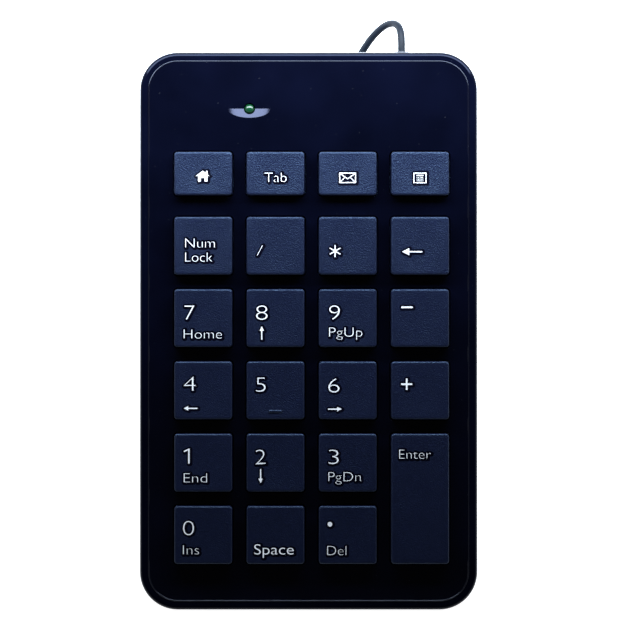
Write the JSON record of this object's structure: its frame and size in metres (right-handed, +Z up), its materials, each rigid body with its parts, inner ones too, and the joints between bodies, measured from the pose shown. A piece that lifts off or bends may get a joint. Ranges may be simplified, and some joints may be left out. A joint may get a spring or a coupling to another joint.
{
  "type": "numeric keypad",
  "caption": "Wired desktop numeric keypad with square caps, a tall Enter key, hot keys, a lamp, fold-out tilt feet and a tied lead with a plug.",
  "frame": {"origin": "centre of the keypad's base on the table, its tilt feet open, its lead left out", "axes": "+X to the user's right, +Y away from the user towards the lamp and lead, +Z up"},
  "size_m": [0.089, 0.1564, 0.0206],
  "materials": {
    "keycap": "fine leather-like grain, soft matt",
    "case_gloss": "polished, high gloss",
    "face_gloss": "polished, high gloss",
    "case_matt": "spark-eroded fine texture",
    "steel_plate": "rolled, zinc plated",
    "film": "clear polyester film",
    "silicone": "moulded silicone, satin",
    "board_green": "solder mask over fibreglass",
    "chip_black": "moulded epoxy",
    "tinned": "tinned metal",
    "ceramic": "fired ceramic",
    "screw_steel": "black zinc",
    "lamp_green": "tinted clear epoxy lens",
    "connector_white": "moulded nylon",
    "wire_red": "thin insulation",
    "spring_wire": "drawn spring steel wire",
    "pad_rubber": "soft matt rubber",
    "label_silver": "satin polyester label",
    "lead_jacket": "satin PVC jacket",
    "tie_black": "ribbed strap",
    "plug_moulding": "satin PVC moulding",
    "shell_nickel": "bright nickel plate",
    "insert_white": "moulded nylon"
  },
  "bodies": {
    "housing": {"top_case": "case_gloss", "face_plate": "face_gloss", "bottom_case": "case_matt", "support_plate": "steel_plate", "membrane_bottom": "film", "membrane_spacer": "film", "membrane_top": "film", "dome_sheet": "silicone", "controller_board": "board_green", "controller_chip": "chip_black", "crystal": "tinned", "capacitors": "ceramic", "membrane_clamp": "chip_black", "board_screws": "tinned", "led": "lamp_green", "led_legs": "tinned", "lead_connector": "connector_white", "inner_wires": "wire_red", "case_screws": "screw_steel", "front_pads": "pad_rubber", "rear_pads": "pad_rubber", "rating_label": "label_silver", "strain_relief": "plug_moulding", "lead_cord": "lead_jacket", "lead_hank": "lead_jacket", "hank_tie": "tie_black", "lead_tail": "lead_jacket", "plug_body": "plug_moulding", "plug_shell": "shell_nickel", "plug_insert": "insert_white"},
    "key_0": {"key_0": "keycap"},
    "key_space": {"key_space": "keycap"},
    "key_decimal": {"key_decimal": "keycap"},
    "key_1": {"key_1": "keycap"},
    "key_2": {"key_2": "keycap"},
    "key_3": {"key_3": "keycap"},
    "key_4": {"key_4": "keycap"},
    "key_5": {"key_5": "keycap"},
    "key_6": {"key_6": "keycap"},
    "key_plus": {"key_plus": "keycap"},
    "key_7": {"key_7": "keycap"},
    "key_8": {"key_8": "keycap"},
    "key_9": {"key_9": "keycap"},
    "key_minus": {"key_minus": "keycap"},
    "key_num_lock": {"key_num_lock": "keycap"},
    "key_divide": {"key_divide": "keycap"},
    "key_multiply": {"key_multiply": "keycap"},
    "key_backspace": {"key_backspace": "keycap"},
    "key_home": {"key_home": "keycap"},
    "key_tab": {"key_tab": "keycap"},
    "key_mail": {"key_mail": "keycap"},
    "key_calculator": {"key_calculator": "keycap"},
    "key_enter": {"key_enter": "keycap"},
    "enter_stabiliser": {"enter_stabiliser": "spring_wire"},
    "tilt_foot_left": {"tilt_foot_left": "case_matt", "foot_tip_left": "pad_rubber"},
    "tilt_foot_right": {"tilt_foot_right": "case_matt", "foot_tip_right": "pad_rubber"}
  },
  "joints": [
    {"name": "key_0_press", "type": "slide", "parent": "housing", "child": "key_0", "axis": [0, 0.0698, -0.9976], "range_m": [0, 0.002], "stiffness_N_per_m": 200, "springref_m": -0.0012},
    {"name": "key_space_press", "type": "slide", "parent": "housing", "child": "key_space", "axis": [0, 0.0698, -0.9976], "range_m": [0, 0.002], "stiffness_N_per_m": 200, "springref_m": -0.0012},
    {"name": "key_decimal_press", "type": "slide", "parent": "housing", "child": "key_decimal", "axis": [0, 0.0698, -0.9976], "range_m": [0, 0.002], "stiffness_N_per_m": 200, "springref_m": -0.0012},
    {"name": "key_1_press", "type": "slide", "parent": "housing", "child": "key_1", "axis": [0, 0.0698, -0.9976], "range_m": [0, 0.002], "stiffness_N_per_m": 200, "springref_m": -0.0012},
    {"name": "key_2_press", "type": "slide", "parent": "housing", "child": "key_2", "axis": [0, 0.0698, -0.9976], "range_m": [0, 0.002], "stiffness_N_per_m": 200, "springref_m": -0.0012},
    {"name": "key_3_press", "type": "slide", "parent": "housing", "child": "key_3", "axis": [0, 0.0698, -0.9976], "range_m": [0, 0.002], "stiffness_N_per_m": 200, "springref_m": -0.0012},
    {"name": "key_4_press", "type": "slide", "parent": "housing", "child": "key_4", "axis": [0, 0.0698, -0.9976], "range_m": [0, 0.002], "stiffness_N_per_m": 200, "springref_m": -0.0012},
    {"name": "key_5_press", "type": "slide", "parent": "housing", "child": "key_5", "axis": [0, 0.0698, -0.9976], "range_m": [0, 0.002], "stiffness_N_per_m": 200, "springref_m": -0.0012, "deforming": ["dome_sheet"]},
    {"name": "key_6_press", "type": "slide", "parent": "housing", "child": "key_6", "axis": [0, 0.0698, -0.9976], "range_m": [0, 0.002], "stiffness_N_per_m": 200, "springref_m": -0.0012},
    {"name": "key_plus_press", "type": "slide", "parent": "housing", "child": "key_plus", "axis": [0, 0.0698, -0.9976], "range_m": [0, 0.002], "stiffness_N_per_m": 200, "springref_m": -0.0012},
    {"name": "key_7_press", "type": "slide", "parent": "housing", "child": "key_7", "axis": [0, 0.0698, -0.9976], "range_m": [0, 0.002], "stiffness_N_per_m": 200, "springref_m": -0.0012},
    {"name": "key_8_press", "type": "slide", "parent": "housing", "child": "key_8", "axis": [0, 0.0698, -0.9976], "range_m": [0, 0.002], "stiffness_N_per_m": 200, "springref_m": -0.0012},
    {"name": "key_9_press", "type": "slide", "parent": "housing", "child": "key_9", "axis": [0, 0.0698, -0.9976], "range_m": [0, 0.002], "stiffness_N_per_m": 200, "springref_m": -0.0012},
    {"name": "key_minus_press", "type": "slide", "parent": "housing", "child": "key_minus", "axis": [0, 0.0698, -0.9976], "range_m": [0, 0.002], "stiffness_N_per_m": 200, "springref_m": -0.0012},
    {"name": "key_num_lock_press", "type": "slide", "parent": "housing", "child": "key_num_lock", "axis": [0, 0.0698, -0.9976], "range_m": [0, 0.002], "stiffness_N_per_m": 200, "springref_m": -0.0012},
    {"name": "key_divide_press", "type": "slide", "parent": "housing", "child": "key_divide", "axis": [0, 0.0698, -0.9976], "range_m": [0, 0.002], "stiffness_N_per_m": 200, "springref_m": -0.0012},
    {"name": "key_multiply_press", "type": "slide", "parent": "housing", "child": "key_multiply", "axis": [0, 0.0698, -0.9976], "range_m": [0, 0.002], "stiffness_N_per_m": 200, "springref_m": -0.0012},
    {"name": "key_backspace_press", "type": "slide", "parent": "housing", "child": "key_backspace", "axis": [0, 0.0698, -0.9976], "range_m": [0, 0.002], "stiffness_N_per_m": 200, "springref_m": -0.0012},
    {"name": "key_home_press", "type": "slide", "parent": "housing", "child": "key_home", "axis": [0, 0.0698, -0.9976], "range_m": [0, 0.002], "stiffness_N_per_m": 200, "springref_m": -0.0012},
    {"name": "key_tab_press", "type": "slide", "parent": "housing", "child": "key_tab", "axis": [0, 0.0698, -0.9976], "range_m": [0, 0.002], "stiffness_N_per_m": 200, "springref_m": -0.0012},
    {"name": "key_mail_press", "type": "slide", "parent": "housing", "child": "key_mail", "axis": [0, 0.0698, -0.9976], "range_m": [0, 0.002], "stiffness_N_per_m": 200, "springref_m": -0.0012},
    {"name": "key_calculator_press", "type": "slide", "parent": "housing", "child": "key_calculator", "axis": [0, 0.0698, -0.9976], "range_m": [0, 0.002], "stiffness_N_per_m": 200, "springref_m": -0.0012},
    {"name": "key_enter_press", "type": "slide", "parent": "housing", "child": "key_enter", "axis": [0, 0.0698, -0.9976], "range_m": [0, 0.002], "stiffness_N_per_m": 260, "springref_m": -0.0012},
    {"name": "enter_stabiliser_turn", "type": "hinge", "parent": "housing", "child": "enter_stabiliser", "pos_m": [0.0243, -0.04405, 0.00799], "axis": [0, 0.9976, 0.0698], "range_deg": [0, 11.5]},
    {"name": "tilt_foot_left_fold", "type": "hinge", "parent": "housing", "child": "tilt_foot_left", "pos_m": [-0.034, 0.06433, 0.01206], "axis": [1, 0, 0], "range_deg": [-91, 0]},
    {"name": "tilt_foot_right_fold", "type": "hinge", "parent": "housing", "child": "tilt_foot_right", "pos_m": [0.034, 0.06433, 0.01206], "axis": [1, 0, 0], "range_deg": [-91, 0]}
  ],
  "couplings": [
    {"joint": "enter_stabiliser_turn", "follows": "key_enter_press", "rad_per_m": 99.669}
  ]
}
